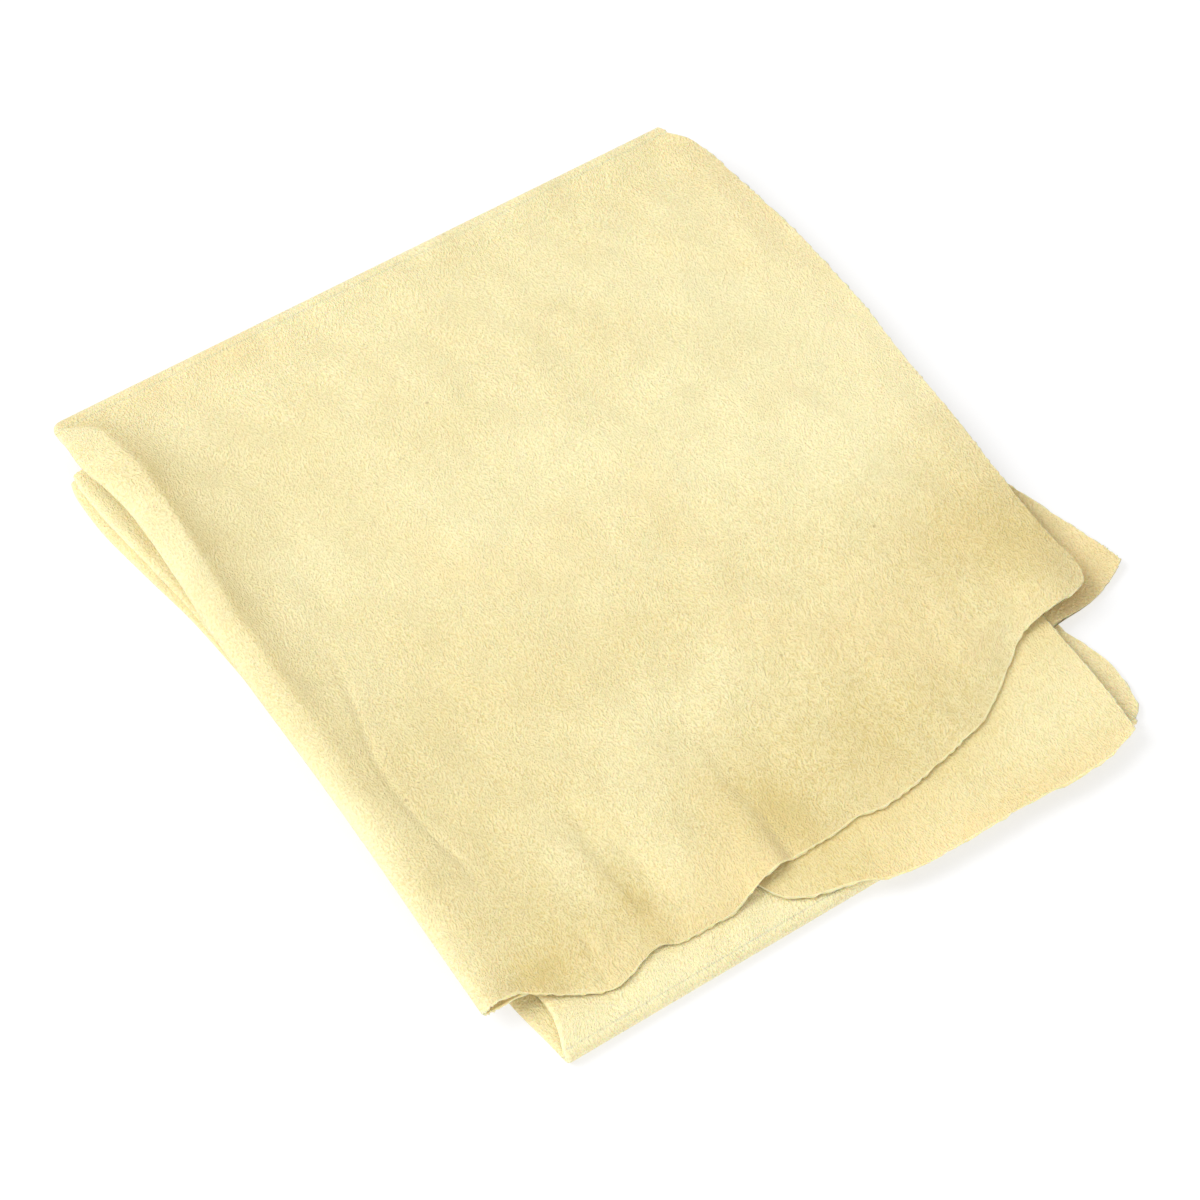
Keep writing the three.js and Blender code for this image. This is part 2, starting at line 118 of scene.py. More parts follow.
# nose of each side fold, its depth across and half its height, by share of the bundle's depth
sideFolds = {
    "upper": {
        "nose": [(0.02, -2.6), (0.05, -2.7), (0.085, -2.8), (0.13, -0.3), (0.18, 1.3), (0.28, 1), (0.36, 0),
                 (0.6, 0.8), (0.9, 0)],
        "across": [(0.02, 1.5), (0.05, 9.5), (0.1, 11.5), (0.18, 9), (0.28, 8), (0.4, 7), (0.65, 5.5),
                   (0.8, 4.5), (0.92, 3)],
        "half": [(0.02, 1.1), (0.07, 2.25), (0.15, 3.2), (0.4, 3.2), (0.65, 2.5), (0.8, 1.9), (0.92, 1.7)],
        "slope": 14.0,  # how fast the panel falls away from the roll
    },
    "middle": {
        "nose": [(0.02, 3.5), (0.1, 4), (0.3, 6), (0.6, 9.5), (0.85, 14.5), (0.93, 16.8), (0.96, 15.4),
                 (0.985, 12.8)],
        "across": [(0.02, 2.4), (0.1, 2), (0.76, 1.75), (0.88, 1.5), (0.93, 1.15), (0.955, 0.9),
                   (0.985, 0.75)],
        "half": [(0.02, 1.1), (0.1, 1.0), (0.76, 0.95), (0.985, 0.625)],
        "slope": 10.0,
    },
    "lower": {
        "nose": [(0.06, -4.4), (0.075, -5.4), (0.1, -5.7), (0.145, -5.3), (0.217, -2.6), (0.315, 1.2),
                 (0.5, 4.5), (0.9, 9.8), (0.96, 12), (0.985, 12.8)],
        "across": [(0.06, 4.5), (0.2, 4.2), (0.4, 3), (0.76, 1.9), (0.88, 1.6), (0.93, 1.2), (0.955, 0.9),
                   (0.985, 0.75)],
        "half": [(0.06, 2.5), (0.15, 2.6), (0.3, 1.9), (0.5, 1.2), (0.76, 1.0), (0.985, 0.625)],
        "slope": 13.0,
    },
}
crestRound = 1.6  # radius over the crest beside a side fold
crestLeast = 7.5  # the crest of the upper roll runs straight to the back crease
# the nose of the lower leaf lies in two ridges with a slot between them: the span of each as shares of the
# nose's height, and by share of the bundle's depth how far the upper one reaches and how both fade
noseRidges = {
    "lower": (0.0, 0.4),
    "upper": (0.6, 1.0),
    "slotFloor": 0.1,
    "upperReach": [(0.06, 0.74), (0.12, 0.5), (0.2, 0.42)],
    "fade": [(0.06, 1.0), (0.2, 0.9), (0.34, 0.45), (0.45, 0.0)],
}

# raw right-hand edges, by share of the depth, as shares of the width
rightEdges = {
    "top": [(0.024, 1), (0.05, 1.03), (0.1, 1.043), (0.23, 1.06), (0.35, 1.062), (0.46, 1.05), (0.61, 1.039),
            (0.745, 1.033), (0.78, 1.037), (0.799, 1.034), (0.816, 1.026), (0.825, 1.012), (0.83, 0.99)],
    "topUnder": [(0.024, 0.977), (0.2, 0.96), (0.68, 0.955), (0.83, 0.948), (0.93, 0.946), (1, 0.939)],
    "middle": [(0.024, 0.977), (0.46, 1.0), (0.62, 1.045), (0.71, 1.074), (0.8, 1.102), (0.807, 1.102),
               (0.8135, 1.093), (0.83, 1.046), (0.8385, 1.0), (0.843, 0.95), (0.855, 0.925), (0.91, 0.917),
               (0.985, 0.93)],
    "middleUnder": [(0.024, 1), (0.15, 0.968), (0.57, 0.935), (0.94, 0.94), (0.985, 0.955)],
    "baseUpper": [(0.05, 0.95), (0.5, 0.96), (0.84, 0.965), (0.874, 0.976), (0.91, 0.986), (0.947, 0.982),
                  (0.975, 0.972), (0.985, 0.955)],
    "base": [(0.05, 0.94), (0.5, 0.95), (0.9, 0.955), (0.985, 0.93)],
}

# raw front and back edges, by share of the width, as shares of the depth
topFront = [(0.013, 0.908), (0.037, 0.908), (0.05, 0.915), (0.096, 0.937), (0.137, 0.9527), (0.157, 0.9548),
            (0.201, 0.9426), (0.225, 0.9373), (0.249, 0.9465), (0.302, 0.948), (0.33, 0.9488), (0.364, 0.943),
            (0.395, 0.936), (0.435, 0.9305), (0.5, 0.931), (0.545, 0.927), (0.588, 0.931), (0.64, 0.9275),
            (0.728, 0.9136), (0.774, 0.903), (0.823, 0.88), (0.854, 0.8624), (0.898, 0.8386), (0.932, 0.833),
            (0.97, 0.831), (0.99, 0.83)]
topUnderFront = [(0.014, 0.908), (0.2, 0.918), (0.36, 0.928), (0.38, 0.934), (0.39, 0.952), (0.4, 0.963),
                 (0.429, 0.976), (0.463, 0.983), (0.497, 0.991), (0.536, 1.005), (0.592, 1.011), (0.7, 1.012),
                 (0.769, 1.013), (0.835, 1.015), (0.897, 1.011), (0.939, 1.0)]
baseUpperBack = [(0, 0.06), (0.4, 0.068), (0.75, 0.084), (1, 0.106)]
baseBack = [(0, 0.06), (0.4, 0.076), (0.75, 0.08), (1, 0.095)]

topSlack = {
    "crown": 1.2,
    # how far the upper leaf lies off the middle one
    "underLoft": [(0.024, 5.3), (0.1, 4.5), (0.3, 2.6), (0.55, 1.2), (0.8, 0.3), (0.9, 0)],
    "closest": 0.15,  # air left where a sheet lies on the one below
    "edgeDroop": 1.6,
    "edgeDroopSpan": (0.99, 1.06),
    "lobeDroop": 3.0,
    "lobeDroopSpan": (0.955, 1.045),
    "lobeRim": 0.5,  # the lobe turns up again at its rim
    "lobeRimSpan": (1.06, 1.102),
    "restDroop": 2.3,  # the front edge lies down on the middle leaf
    "restSpan": ((0.018, 0.074), (0.332, 0.396)),
    "restReach": 15.0,
    "restStart": 2.0,  # past the underside's raw edge
    "restDrop": 5.0,
}

# swells of the top panel: place and spread as shares of the width and the depth
topSwells = {
    "rightShoulder": {"place": (0.977, 0.563), "spread": (0.276, 0.16), "rise": 3.2},
    "frontArch": {"place": (0.424, 0.96), "spread": (0.041, 0.08), "rise": 1.6},
    "cornerArch": {"place": (0.977, 0.814), "spread": (0.065, 0.053), "rise": 2.4},
    "frontLip": {"place": (0.66, 0.93), "spread": (0.16, 0.035), "rise": 0.9},
}

# folds that run forward in the top panel: path as shares of the depth and the width, half width as a share of
# the width, and where they fade in and out along the depth
topFolds = {
    "pinch": {"path": [(0.4, 0.129), (0.517, 0.099), (0.605, 0.074), (0.677, 0.074), (0.76, 0.091)],
              "half": 0.006, "rise": -0.5, "fadeIn": (0.41, 0.53), "fadeOut": (0.73, 0.783)},
    "frontValley": {"path": [(0.72, 0.246), (0.787, 0.253), (0.9, 0.265), (0.95, 0.259)],
                    "half": 0.02, "rise": -2.4, "fadeIn": (0.715, 0.844), "fadeOut": (1.1, 1.14)},
    "frontRidge": {"path": [(0.72, 0.3), (0.829, 0.325), (0.875, 0.335), (0.95, 0.342)],
                   "half": 0.035, "rise": 0.6, "fadeIn": (0.7, 0.817), "fadeOut": (0.897, 0.958)},
    "stepValley": {"path": [(0.76, 0.46), (0.81, 0.46), (0.878, 0.461), (0.93, 0.452)],
                   "half": 0.014, "rise": -1.9, "fadeIn": (0.7, 0.84), "fadeOut": (1.1, 1.14)},
    "leftWrinkle": {"path": [(0.875, 0.164), (0.935, 0.154), (0.958, 0.15)],
                    "half": 0.006, "rise": -0.6, "fadeIn": (0.859, 0.913), "fadeOut": (1.1, 1.14)},
}
topStep = {  # down to the right across the front
    "path": [(0.456, 0.359), (0.532, 0.378), (0.707, 0.429), (0.776, 0.456), (0.93, 0.456)],
    "half": [(0.456, 0.12), (0.684, 0.065), (0.817, 0.023), (0.93, 0.018)],
    "fall": 2.2,
    "fade": (0.456, 0.817),
    "recovery": 0.276,
}
undulation = {  # the skin's own unevenness
    "swings": [(34.0, 0.35), (13.0, 0.12), (5.0, 0.035)],  # cell and swing
    "shift": 300.0,  # where on the noise the bundle lies
    "seed": 71,
}
rawEdge = {
    "waves": [(24.0, 0.16), (9.0, 0.15), (3.4, 0.09)],  # wavelength and swing
    "waveShift": 7.3,  # on the noise, from one wave to the next
    "fade": 14.0,  # towards a crease
    "bulge": 0.5,
    "fuzz": 0.8,
}
edgeSeeds = {"front": 31, "back": 51}
underSeed = 9  # added to a leaf's seed for its lower layer

thickness = bundle["thickness"]
layerStep = thickness + bundle["air"]
depthTotal = bundle["depth"]
widthTotal = bundle["width"]
backInner, backOuter = bundle["backRadius"]
frontInner, frontOuter = bundle["frontRadius"]
backAxis = backOuter + thickness / 2
frontAxis = depthTotal - bundle["frontInset"] - frontOuter - thickness / 2
frontHeight = frontOuter + thickness / 2 + bundle["frontLift"]
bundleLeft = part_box("back_fold_outer")[1].x / mm - widthTotal  # where x is 0 in the frame
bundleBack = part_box("back_fold_outer")[1].y / mm  # where d is 0 in the frame


def alongDepth(points, factor=1.0):
    curve = curveThrough(points)
    return lambda d: curve(d / depthTotal) * factor


def acrossWidth(points):
    curve = curveThrough(points)
    return lambda x: curve(x / widthTotal) * depthTotal


folds = {}
for foldName, shape in sideFolds.items():
    folds[foldName] = {key: alongDepth(shape[key]) for key in ("nose", "across", "half")}
    folds[foldName]["slope"] = shape["slope"]


def foldEdge(fold, d):
    return fold["nose"](d) + fold["across"](d)


def leafGap(fold, x, d):
    crest = np.maximum(foldEdge(fold, d), crestLeast if fold is folds["upper"] else 0)
    past = np.maximum(x - crest, 0)
    beside = np.exp(-(np.hypot(past, crestRound) - crestRound) / fold["slope"])
    return mix(layerStep, 2 * fold["half"](d), beside)


def edgeWaves(along, seed):
    waves = np.zeros_like(along, float)
    for i, (length, swing) in enumerate(rawEdge["waves"]):
        waves += swing * softNoise(along, np.full_like(along, rawEdge["waveShift"] * i), length / 2, seed + i)
    return waves


def bell(t):
    return np.exp(-t * t)


topEnd = acrossWidth(topFront)
underEnd = acrossWidth(topUnderFront)
underLoft = alongDepth(topSlack["underLoft"])
stepPath = curveThrough(topStep["path"])
stepHalf = curveThrough(topStep["half"])


def topLift(x, d):
    across = x / widthTotal
    along = d / depthTotal
    lift = topSlack["crown"] * np.sin(np.pi * np.clip(across, 0, 1)) * np.sin(np.pi * np.clip(along, 0, 1))
    for swell in topSwells.values():
        place, spread = swell["place"], swell["spread"]
        sideways = bell((across - place[0]) / spread[0])
        lift = lift + swell["rise"] * sideways * bell((along - place[1]) / spread[1])
    for fold in topFolds.values():
        shown = ease(along, *fold["fadeIn"]) * (1 - ease(along, *fold["fadeOut"]))
        off = across - curveThrough(fold["path"])(along)
        lift = lift + fold["rise"] * shown * bell(off / fold["half"])
    past = across - stepPath(along)
    lower = (1 + np.tanh(past / stepHalf(along))) / 2 * np.exp(-np.maximum(past, 0) / topStep["recovery"])
    lift = lift - topStep["fall"] * lower * ease(along, *topStep["fade"])
    restFrom, restTo = topSlack["restSpan"]
    resting = ease(across, *restFrom) * (1 - ease(across, *restTo))
    lift = lift - topSlack["restDroop"] * resting * (1 - ease(topEnd(x) - d, 0, topSlack["restReach"]))
    return lift + skinUnevenness(x, d)


def keptOff(gap, x, d):  # off the underside, and past the underside's raw edge off the middle leaf
    air = topSlack["closest"]
    past = ease(d - underEnd(x) - topSlack["restStart"], 0, topSlack["restDrop"])
    least = thickness + air - (layerStep + underLoft(d)) * past
    return least + (gap - least + np.hypot(gap - least, air)) / 2


def skinUnevenness(x, d):
    total = 0
    shift = undulation["shift"]
    for i, (cell, swing) in enumerate(undulation["swings"]):
        total = total + swing * softNoise(x + shift, d + shift, cell, undulation["seed"] + i)
    return total


def layerHeights(x, d):
    nearBack = 1 - ease(d, backAxis, backAxis + bundle["backReach"])
    nearFront = ease(d, frontAxis - bundle["frontReach"], frontAxis)
    creaseGap = frontOuter - frontInner
    base = thickness / 2 + bundle["frontLift"] * nearFront
    baseUpper = base + mix(leafGap(folds["lower"], x, d), creaseGap, nearFront)
    leafStep = mix(layerStep, 2 * frontInner, nearFront)
    middleUnder = mix(baseUpper + leafStep, bundle["backHeight"] - backOuter, nearBack)
    middleGap = mix(leafGap(folds["middle"], x, d), creaseGap, nearFront)
    middleFlat = middleUnder + mix(middleGap, backOuter - backInner, nearBack)
    topUnder = middleFlat + mix(layerStep + underLoft(d), 2 * backInner, nearBack)
    topGap = keptOff(leafGap(folds["upper"], x, d) + topLift(x, d), x, d)
    share = x / widthTotal
    lobe = topSlack["lobeDroop"] * ease(share, *topSlack["lobeDroopSpan"])
    lobe = lobe - topSlack["lobeRim"] * ease(share, *topSlack["lobeRimSpan"])
    droop = topSlack["edgeDroop"] * ease(share, *topSlack["edgeDroopSpan"])
    return {
        "base": base,
        "baseUpper": baseUpper,
        "middleUnder": middleUnder,
        "middle": middleFlat - lobe * (1 - nearBack),
        "topUnder": topUnder,
        "top": topUnder + mix(topGap, backOuter - backInner, nearBack) - droop * (1 - nearBack),
    }


def panelGrid(layer, fold, shares, rowShares, backEnd, frontEnd, seed):
    right = alongDepth(rightEdges[layer], widthTotal)
    widest = rightEdges[layer][-1][1] * widthTotal
    xAtEnd = shares * widest
    back = backEnd(xAtEnd)
    front = frontEnd(xAtEnd)
    d = back + (front - back) * rowShares[:, None]
    calm = ease(d, backAxis, backAxis + rawEdge["fade"]) * ease(frontAxis - d, 0, rawEdge["fade"])
    left = foldEdge(fold, d)
    x = left + (right(d) + edgeWaves(d, seed) * calm - left) * shares
    return np.stack([x, -d, layerHeights(x, d)[layer]], axis=-1)


ridgeFade = alongDepth(noseRidges["fade"])
ridgeReach = alongDepth(noseRidges["upperReach"])


def ridge(height, low, high):
    off = np.clip((2 * height - low - high) / (high - low), -1, 1)
    return np.sqrt(1 - off * off)


def sideFoldGrid(fold, upperLayer, lowerLayer, turns, d):
    d = d[:, None]
    edge = foldEdge(fold, d)
    heights = layerHeights(edge, d)
    half = (heights[upperLayer] - heights[lowerLayer]) / 2
    reach = np.broadcast_to(np.cos(turns), (len(d), len(turns)))
    if lowerLayer == "base":
        level = (1 + np.sin(turns)) / 2
        upperRidge = ridge(level, *noseRidges["upper"]) * ridgeReach(d)
        ridges = np.maximum(ridge(level, *noseRidges["lower"]), upperRidge)
        slot = np.minimum(noseRidges["slotFloor"], np.cos(turns))
        reach = mix(reach, np.maximum(ridges, slot), ridgeFade(d))
    x = edge - fold["across"](d) * reach
    z = heights[lowerLayer] + half * (1 + np.sin(turns))
    return np.stack([x, np.broadcast_to(-d, x.shape), z], axis=-1)


def leafGrid(leaf, fold, upperLayer, lowerLayer, ends):
    upperShares = np.linspace(1, 0, leaf["columns"]) ** leaf["crowding"]
    lowerShares = np.linspace(0, 1, leaf["underColumns"]) ** leaf["crowding"]
    rowShares = np.interp(np.linspace(0, 1, leaf["rows"]), *leaf["rowKnots"])
    upper = panelGrid(upperLayer, fold, upperShares, rowShares, *ends[upperLayer], leaf["seed"])
    lower = panelGrid(lowerLayer, fold, lowerShares, rowShares, *ends[lowerLayer], leaf["seed"] + underSeed)
    turns = np.linspace(math.pi / 2, -math.pi / 2, leaf["foldColumns"])[1:-1]
    nose = sideFoldGrid(fold, upperLayer, lowerLayer, turns, -upper[:, -1, 1])
    return np.concatenate([upper, nose, lower], axis=1)


def creaseGrid(crease, foldPair, axis, height, outward, radii, edges):
    inner, outer = radii
    turns = np.linspace(math.pi / 2, -math.pi / 2, crease["foldColumns"])
    rights = [alongDepth(rightEdges[layer], widthTotal)(axis) for layer in edges]
    share = np.linspace(0, 1, crease["rows"])[:, None]
    edge = mix(foldEdge(foldPair[0], axis), foldEdge(foldPair[1], axis), ease(share, 0, 1))
    across = mix(foldPair[0]["across"](axis), foldPair[1]["across"](axis), share)
    outerX = mix(rights[0], edge, np.linspace(0, 1, crease["columns"])[:-1])
    innerX = mix(edge, rights[1], np.linspace(0, 1, crease["columns"])[1:])
    x = np.concatenate([outerX, edge - across * np.cos(turns), innerX], axis=1)
    half = (outer - inner) / 2
    radius = np.concatenate([np.full(outerX.shape[1], outer), inner + half * (1 + np.sin(turns)),
                             np.full(innerX.shape[1], inner)])
    d = axis + outward * radius * np.sin(math.pi * share)
    z = height + radius * np.cos(math.pi * share)
    return np.stack([x, -d, z], axis=-1)


def chordAlong(grid, noseColumn):
    step = np.linalg.norm(np.diff(grid, axis=1), axis=2)
    length = np.concatenate([np.zeros((grid.shape[0], 1)), np.cumsum(step, axis=1)], axis=1)
    return length - length[:, noseColumn:noseColumn + 1]


def surfaceNormals(grid, ends):
    along = np.gradient(grid, axis=0)
    for row, forward in ends:  # where two pieces meet, the leather runs on level
        along[row] = (0, -forward, 0)
    normal = np.cross(np.gradient(grid, axis=1), along)
    return normal / np.linalg.norm(normal, axis=2, keepdims=True)


# paler and deeper stretches of each visible panel, with painted light and painted shade noted where they
# stand in: place and spread as shares of the width and the depth
toneAndPaintedShadeSpots = {
    "top": {
        "backPale": {"place": (0.5, 0.05), "spread": (0.6, 0.14), "amount": 0.1},
        "backLeftPale": {"place": (0.25, 0.2), "spread": (0.25, 0.2), "amount": 0.2},
        # partly painted light where the right shoulder faces the light, partly the hide's own paler tone
        "rightPale": {"place": (0.97, 0.42), "spread": (0.25, 0.17), "amount": 0.6},
        "centrePale": {"place": (0.35, 0.62), "spread": (0.14, 0.1), "amount": 0.15},
        # partly painted shade on the front slopes, partly the hide's own deeper, greyer tone
        "frontDeep": {"place": (0.4, 0.92), "spread": (0.5, 0.13), "amount": -0.5},
        # partly painted shade to the right of the step, partly the hide's own deeper tone
        "stepDeep": {"place": (0.6, 0.86), "spread": (0.16, 0.07), "amount": -0.35},
        # painted shade down the front step
        "stepPaintedShade": {"place": (0.475, 0.9), "spread": (0.03, 0.06), "amount": -0.6},
        # partly painted shade where the corner falls away from the light, partly the hide's own greyer tone
        "cornerDeep": {"place": (1.0, 0.73), "spread": (0.18, 0.1), "amount": -0.9},
        # partly painted shade, partly the hide's own deeper tone
        "leftDeep": {"place": (0.13, 0.68), "spread": (0.1, 0.2), "amount": -0.3},
        # partly painted shade, partly the hide's own deeper tone
        "frontLeftDark": {"place": (0.085, 0.905), "spread": (0.06, 0.028), "amount": -0.7},
        # painted shade in the front valley
        "valleyPaintedShade": {"place": (0.247, 0.9), "spread": (0.022, 0.06), "amount": -0.6},
        # painted light on the lit sides of two front ridges
        "ridgePaintedLight": {"place": (0.32, 0.88), "spread": (0.04, 0.06), "amount": 0.3},
        "leftRidgePaintedLight": {"place": (0.2, 0.8), "spread": (0.035, 0.07), "amount": 0.3},
        # painted light on the upper roll's lit band
        "rollPaintedLight": {"place": (0.0, 0.75), "spread": (0.024, 0.25), "amount": 0.55},
        "middleDeep": {"place": (0.5, 0.62), "spread": (0.3, 0.06), "amount": -0.25},
    },
    "topUnder": {
        "rightPale": {"place": (0.85, 0.93), "spread": (0.12, 0.06), "amount": 0.2},
        "leftDeep": {"place": (0.5, 0.99), "spread": (0.08, 0.04), "amount": -0.35},
        "rightDeep": {"place": (0.8, 1.0), "spread": (0.07, 0.03), "amount": -0.5},
    },
    "middle": {
        # paler front strip: partly the hide's own paler tone, partly painted light
        "frontPale": {"place": (0.25, 0.97), "spread": (0.4, 0.06), "amount": 0.8},
        # painted light on the lobe's lit rim
        "lobePaintedLight": {"place": (1.08, 0.76), "spread": (0.05, 0.12), "amount": 0.1},
    },
    "baseUpper": {
        # painted light on the lower nose, lifting the shade under the upper roll
        "nosePaintedLight": {"place": (-0.02, 0.12), "spread": (0.06, 0.12), "amount": 0.5},
        # painted light on the lower leaf's right margin
        "marginPaintedLight": {"place": (0.97, 0.92), "spread": (0.06, 0.08), "amount": 0.3},
    },
}
# painted shadow of the top panel's raw edge on the sheets below it
edgeShade = {"tone": -0.7, "reach": 9.0}  # beside the top panel's raw edge, reach in mm
# painted shade in the valley beside the upper roll
rollShade = {  # in the valley beside the upper roll
    "tone": -0.75,
    "start": (-1.0, 2.0),  # mm past the roll's edge
    "reach": 11.0,
    "fade": (0.25, 0.75),
}
# where the nap is coarse and pebbled
pebbledSpots = {
    "top": {
        "frontRight": {"place": (0.75, 0.78), "spread": (0.35, 0.2), "amount": 1.0},
        "frontLeft": {"place": (0.2, 0.9), "spread": (0.2, 0.12), "amount": 0.6},
    },
    "topUnder": {"whole": {"place": (0.6, 0.96), "spread": (0.6, 0.2), "amount": 0.6}},
}
topRight = alongDepth(rightEdges["top"], widthTotal)


def spotSum(spots, x, d):
    total = np.zeros_like(x)
    for spot in spots.values():
        off = bell((x / widthTotal - spot["place"][0]) / spot["spread"][0])
        total += spot["amount"] * off * bell((d / depthTotal - spot["place"][1]) / spot["spread"][1])
    return total


# each point's hide tone, with painted light and painted shade, as a shift towards Pale or Deep
def toneAndShadeAt(layer, x, d):
    tone = spotSum(toneAndPaintedShadeSpots.get(layer, {}), x, d)
    # painted shade in the valley beside the upper roll
    if layer == "top":
        past = x - foldEdge(folds["upper"], d)
        fade = 1 - ease(d / depthTotal, *rollShade["fade"])
        begun = ease(past, *rollShade["start"])
        tone += rollShade["tone"] * fade * begun * np.exp(-np.maximum(past, 0) / rollShade["reach"])
    # painted shadow from the top panel's raw edge on the sheets below
    if layer in ("topUnder", "middle"):
        past = np.maximum(np.maximum(d - topEnd(x), x - topRight(d)), 0)
        tone += edgeShade["tone"] * np.exp(-past / edgeShade["reach"])
    return tone


def pebbledAt(layer, x, d):
    return spotSum(pebbledSpots.get(layer, {}), x, d)


skinMap = {"middle": 0.24, "innerShift": 0.5}  # where the nose line lies on the flat skin, in metres


def sheetLines(index):  # the four sides in ring order, each with the line beside it
    return {
        "back": (index[0], index[1]),
        "end": (index[:, -1], index[:, -2]),
        "front": (index[-1, ::-1], index[-2, ::-1]),
        "start": (index[::-1, 0], index[::-1, 1]),
    }


def rimPush(middle, lines, rawSides):  # outward at the raw edges, nothing elsewhere
    push = np.zeros_like(middle)
    for side in rawSides:
        line, beside = lines[side]
        away = middle[line] - middle[beside]
        push[line] += away / np.linalg.norm(away, axis=1, keepdims=True)
    size = np.linalg.norm(push, axis=1, keepdims=True)
    return np.where(size > 0, push / np.maximum(size, tiny), 0)


def sheetFaces(index, ring, there):
    count = index.size
    corners = [index[:-1, :-1], index[:-1, 1:], index[1:, 1:], index[1:, :-1]]
    outerFaces = np.stack(corners, axis=-1).reshape(-1, 4)
    innerFaces = count + outerFaces[:, ::-1]
    rim = 2 * count + np.arange(len(ring))
    upperRim = np.stack([ring[there], ring, rim, rim[there]], axis=-1)
    lowerRim = np.stack([rim[there], rim, count + ring, count + ring[there]], axis=-1)
    return outerFaces, innerFaces, upperRim, lowerRim


def sheetUv(flat, ring, inside, there, outerFaces):  # where each corner lies on the unfolded skin
    near = flat[ring]
    outward = near - flat[inside]
    outward = outward / np.maximum(np.linalg.norm(outward, axis=1, keepdims=True), tiny)
    rim = near + outward * thickness * mm / 2
    far = near + outward * thickness * mm
    upperUv = np.stack([near[there], near, rim, rim[there]], axis=1)
    lowerUv = np.stack([rim[there], rim, far, far[there]], axis=1)
    innerFlat = flat + np.array([skinMap["innerShift"], 0])
    return np.concatenate([flat[outerFaces], innerFlat[outerFaces[:, ::-1]], upperUv, lowerUv])


def leatherSheet(name, grid, skin, marks, rawSides, levelEnds, seed):
    rows, columns = grid.shape[:2]
    index = np.arange(rows * columns).reshape(rows, columns)
    lines = sheetLines(index)
    ring = np.concatenate([line[:-1] for line, beside in lines.values()])
    inside = np.concatenate([beside[:-1] for line, beside in lines.values()])
    there = np.roll(np.arange(len(ring)), -1)  # the next place along the ring
    middle = grid.reshape(-1, 3)
    normal = surfaceNormals(grid, levelEnds).reshape(-1, 3)
    push = rimPush(middle, lines, rawSides)[ring]
    fuzz = 1 + rawEdge["fuzz"] * np.random.default_rng(seed).uniform(-1, 1, (len(ring), 1))
    rim = middle[ring] + push * thickness * rawEdge["bulge"] * fuzz
    points = np.concatenate([middle + normal * thickness / 2, middle - normal * thickness / 2, rim])
    points = points * mm + np.array([bundleLeft, bundleBack, 0]) * mm
    outerFaces, innerFaces, upperRim, lowerRim = sheetFaces(index, ring, there)
    faces = np.concatenate([outerFaces, innerFaces, upperRim, lowerRim])

    mesh = bpy.data.meshes.new(name)
    mesh.from_pydata(points.tolist(), [], faces.tolist())
    piece = bpy.data.objects.new(name, mesh)
    scene.collection.objects.link(piece)
    for material in leatherFaces:
        mesh.materials.append(material)
    kind = np.repeat(np.arange(3), [len(outerFaces), len(innerFaces), 2 * len(ring)])  # in leatherFaces
    mesh.polygons.foreach_set("material_index", kind.astype(np.int32))
    ringRaw = np.linalg.norm(push, axis=1) > 0
    rimSmooth = ringRaw & ringRaw[there]
    smooth = np.concatenate([np.ones(2 * len(outerFaces), bool), rimSmooth, rimSmooth])
    mesh.polygons.foreach_set("use_smooth", smooth)
    flat = skin.reshape(-1, 2)
    uv = sheetUv(flat, ring, inside, there, outerFaces)
    mesh.uv_layers.new(name="skin").data.foreach_set("uv", uv.astype(np.float32).ravel())
    for mark, values in marks.items():
        values = values.ravel().astype(np.float32)
        everywhere = np.concatenate([values, values, values[ring]])
        mesh.attributes.new(mark, "FLOAT", "POINT").data.foreach_set("value", everywhere)
    mesh.update()
    mesh.validate()
    rimNormals = np.where(ringRaw[:, None], push, normal[ring])
    allNormals = np.concatenate([normal, -normal, rimNormals])
    mesh.normals_split_custom_set_from_vertices(allNormals.tolist())
    corner = grid[:-1, :-1]
    cells = np.linalg.norm(np.cross(grid[1:, :-1] - corner, grid[:-1, 1:] - corner), axis=2)
    print(name, "flat", np.round(np.ptp(flat, axis=0), 4), "area", round(float(cells.sum()) * mm * mm, 5))
    return piece


# Suede: nap and tone are node groups that each face of the leather places with its own values; the tone group
# also lays on painted light and painted shade
def newGroup(name, inputs, outputs):
    group = bpy.data.node_groups.new(name, "ShaderNodeTree")
    for label, kind, value in inputs:
        socket = group.interface.new_socket(label, in_out="INPUT", socket_type=kind)
        if value is not None:
            socket.default_value = value
    for label, kind in outputs:
        group.interface.new_socket(label, in_out="OUTPUT", socket_type=kind)
    return group, group.nodes.new("NodeGroupInput"), group.nodes.new("NodeGroupOutput")


def addNode(tree, kind, settings=None, values=None):
    node = tree.nodes.new(kind)
    for key, value in (settings or {}).items():
        setattr(node, key, value)
    for key, value in (values or {}).items():
        node.inputs[key].default_value = value
    return node


def mathNode(tree, operation, first, second):
    node = addNode(tree, "ShaderNodeMath", {"operation": operation})
    for socket, value in zip(node.inputs, (first, second)):
        if isinstance(value, (int, float)):
            socket.default_value = value
        else:
            tree.links.new(value, socket)
    return node.outputs[0]


flatNoise = {"noise_dimensions": "2D"}
flatCells = {"voronoi_dimensions": "2D", "feature": "F1"}
noiseMean = 0.5
napTexture = {
    "swirl": {"Scale": 60.0, "Detail": 1.0},
    "comb": {"Scale": (1.0, 0.48, 1.0), "Rotation": (0, 0, 0.5)},  # the strands lie one way
    "grain": {"Detail": 1.0, "Roughness": 0.4, "Distortion": 0.9},
    "strands": {"Detail": 2.0, "Roughness": 0.55},
    "pebble": {"Scale": 420.0, "Detail": 1.5, "Roughness": 0.5, "Distortion": 0.6},
    "toneRange": {"From Min": 0.31, "From Max": 0.54},
    "grainShare": 0.45,
    "strandShare": 0.6,
    "pitShare": 0.16,
    "pebbleShare": 0.55,
}


